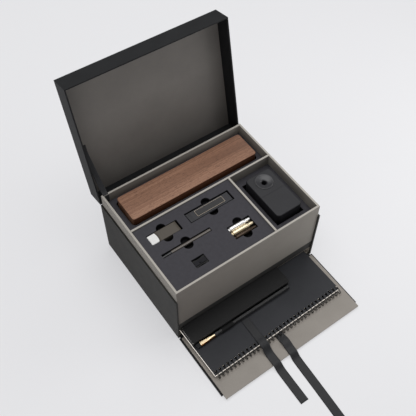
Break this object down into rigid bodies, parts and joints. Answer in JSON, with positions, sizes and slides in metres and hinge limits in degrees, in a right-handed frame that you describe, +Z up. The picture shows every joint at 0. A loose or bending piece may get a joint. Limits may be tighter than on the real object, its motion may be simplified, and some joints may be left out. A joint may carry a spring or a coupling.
{
  "type": "pencil gift set",
  "caption": "Open presentation case for drawing pencils: leaning lid, front flap, foam-lined tray of tools, wire-bound pad and slim case.",
  "frame": {"origin": "middle of the case's underside", "axes": "+Z up, +Y to the back of the case, +X to its right"},
  "size_m": [0.31, 0.6358, 0.3709],
  "materials": {
    "barrel_lacquer": "lacquered",
    "bin_plastic": "satin",
    "black_board": "fine matt covering paper",
    "black_eraser": "matt",
    "black_plastic": "satin",
    "case_leather": "smooth",
    "clear_plastic": "clear",
    "dark_tip": "satin",
    "elastic": "elastic",
    "eraser_white": "matt",
    "foam": "flocked foam",
    "funnel_plastic": "gloss",
    "gold_cap": "satin",
    "gold_ferrule": "polished",
    "graphite": "graphite",
    "grey_cap": "satin",
    "hinge_cloth": "book cloth",
    "label": "bare label with a thin gold line",
    "liner_card": "card",
    "pad_cover": "smooth matt card",
    "pages": "uncoated sheets",
    "ribbon": "grosgrain",
    "silver_cap": "satin",
    "sleeve_card": "coated card",
    "steel": "ground",
    "taupe_board": "fine matt covering paper",
    "taupe_lining": "soft padded paper",
    "taupe_metal": "satin",
    "walnut": "oiled",
    "wedge_metal": "anodised",
    "wire": "black enamel"
  },
  "bodies": {
    "case": {"base_board": "black_board", "left_side": "black_board", "right_side": "black_board", "back_board": "black_board", "compartment_floor": "taupe_lining", "compartment_lining": "taupe_lining", "front_rail": "black_board", "compartment_ceiling": "black_board", "tray_frame": "taupe_board", "tray_floor": "taupe_board", "long_divider": "taupe_board", "cross_divider": "taupe_board", "tool_platform": "black_board", "walnut_platform": "black_board", "walnut_foam": "foam", "sharpener_foam": "foam", "tool_foam": "foam", "lid_hinge_cloth": "hinge_cloth", "flap_hinge_cloth": "hinge_cloth", "stay_ribbon": "ribbon"},
    "lid": {"lid_shell": "black_board", "lid_lining": "taupe_lining"},
    "front_flap": {"flap_board": "black_board", "flap_lining": "taupe_lining"},
    "walnut_box": {"walnut_base": "walnut"},
    "walnut_box_lid": {"walnut_lid": "walnut"},
    "desk_sharpener": {"sharpener_body": "black_plastic", "sharpener_funnel": "funnel_plastic"},
    "shavings_bin": {"sharpener_bin": "bin_plastic"},
    "sleeved_eraser": {"eraser": "eraser_white", "eraser_sleeve": "sleeve_card"},
    "lead_case": {"lead_case_tray": "clear_plastic"},
    "lead_case_cover": {"lead_case_lid": "clear_plastic", "label_card": "label"},
    "pencil_extender": {"extender_barrel": "taupe_metal", "extender_tip": "dark_tip"},
    "guard_1": {"point_guard_1": "silver_cap"},
    "guard_2": {"point_guard_2": "gold_cap"},
    "guard_3": {"point_guard_3": "grey_cap"},
    "wedge_sharpener": {"wedge_body": "wedge_metal", "wedge_blade": "steel", "wedge_screw": "steel"},
    "sketch_pad": {"pad_back_cover": "pad_cover", "pad_pages": "pages", "pad_front_cover": "pad_cover", "wire_binding": "wire", "tie_ribbon": "ribbon"},
    "slim_case": {"slim_case_base": "case_leather", "slim_case_liner": "liner_card", "pen_loop": "elastic"},
    "slim_cover": {"slim_case_cover": "case_leather"},
    "pencil": {"pencil_barrel": "barrel_lacquer", "pencil_lead": "graphite", "pencil_ferrule": "gold_ferrule", "pencil_eraser": "black_eraser"}
  },
  "joints": [
    {"name": "lid_hinge", "type": "hinge", "parent": "case", "child": "lid", "pos_m": [0, 0.122, 0.13], "axis": [-1, 0, 0], "range_deg": [-102, 0], "deforming": ["stay_ribbon"]},
    {"name": "flap_hinge", "type": "hinge", "parent": "case", "child": "front_flap", "pos_m": [0, -0.1243, 0], "axis": [-1, 0, 0], "range_deg": [-90, 0]},
    {"name": "pad_slide", "type": "slide", "parent": "case", "child": "sketch_pad", "axis": [0, 1, 0], "range_m": [-0.11, 0.045], "deforming": ["tie_ribbon"]},
    {"name": "slim_case_lift", "type": "slide", "parent": "case", "child": "slim_case", "axis": [0, 0, 1], "range_m": [0, 0.06]},
    {"name": "slim_cover_hinge", "type": "hinge", "parent": "slim_case", "child": "slim_cover", "pos_m": [-0.0388, -0.119, 0.029], "axis": [-1, 0, 0], "range_deg": [0, 90]},
    {"name": "pencil_slide", "type": "slide", "parent": "slim_case", "child": "pencil", "axis": [-1, 0, 0], "range_m": [0, 0.155]},
    {"name": "walnut_box_lift", "type": "slide", "parent": "case", "child": "walnut_box", "axis": [0, 0, 1], "range_m": [0, 0.06]},
    {"name": "walnut_lid_lift", "type": "slide", "parent": "walnut_box", "child": "walnut_box_lid", "axis": [0, 0, 1], "range_m": [0, 0.04]},
    {"name": "desk_sharpener_lift", "type": "slide", "parent": "case", "child": "desk_sharpener", "axis": [0, 0, 1], "range_m": [0, 0.12]},
    {"name": "shavings_bin_lift", "type": "slide", "parent": "desk_sharpener", "child": "shavings_bin", "axis": [0, 0, 1], "range_m": [0, 0.11]},
    {"name": "eraser_lift", "type": "slide", "parent": "case", "child": "sleeved_eraser", "axis": [0, 0, 1], "range_m": [0, 0.04]},
    {"name": "lead_case_lift", "type": "slide", "parent": "case", "child": "lead_case", "axis": [0, 0, 1], "range_m": [0, 0.04]},
    {"name": "lead_case_cover_lift", "type": "slide", "parent": "lead_case", "child": "lead_case_cover", "axis": [0, 0, 1], "range_m": [0, 0.02]},
    {"name": "extender_lift", "type": "slide", "parent": "case", "child": "pencil_extender", "axis": [0, 0, 1], "range_m": [0, 0.04]},
    {"name": "guard_1_lift", "type": "slide", "parent": "case", "child": "guard_1", "axis": [0, 0, 1], "range_m": [0, 0.04]},
    {"name": "guard_2_lift", "type": "slide", "parent": "case", "child": "guard_2", "axis": [0, 0, 1], "range_m": [0, 0.04]},
    {"name": "guard_3_lift", "type": "slide", "parent": "case", "child": "guard_3", "axis": [0, 0, 1], "range_m": [0, 0.04]},
    {"name": "wedge_sharpener_lift", "type": "slide", "parent": "case", "child": "wedge_sharpener", "axis": [0, 0, 1], "range_m": [0, 0.04]}
  ]
}
